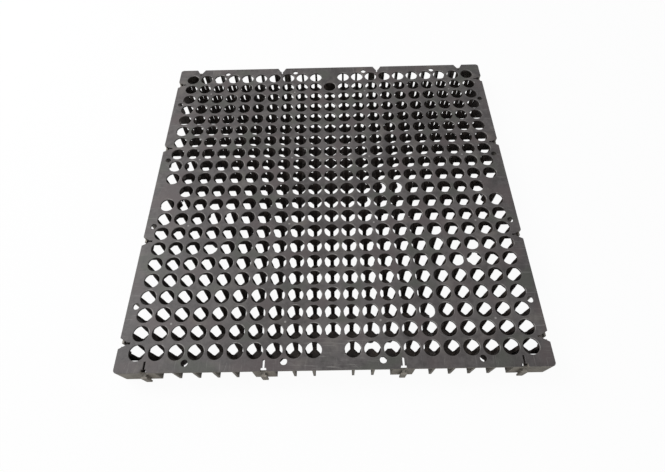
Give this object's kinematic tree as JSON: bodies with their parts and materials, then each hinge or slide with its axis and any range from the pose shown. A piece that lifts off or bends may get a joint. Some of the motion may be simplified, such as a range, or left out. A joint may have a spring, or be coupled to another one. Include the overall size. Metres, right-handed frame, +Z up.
{
  "type": "plastic drainage cell",
  "caption": "Square drainage cell: a flat deck full of round drain holes on short posts and a star grid, with clips and slots on its edges to join more cells.",
  "frame": {"origin": "middle of the underside, on the flat face of the middle star", "axes": "+Z up out of the deck, +X to the right and +Y to the back as seen from the front edge, which carries the clips"},
  "size_m": [0.5, 0.5049, 0.03],
  "materials": {
    "recycled_plastic": "matte"
  },
  "bodies": {
    "root": {"left_strip": "recycled_plastic", "left_middle_strip": "recycled_plastic", "middle_strip": "recycled_plastic", "right_middle_strip": "recycled_plastic", "right_strip": "recycled_plastic"}
  },
  "joints": []
}
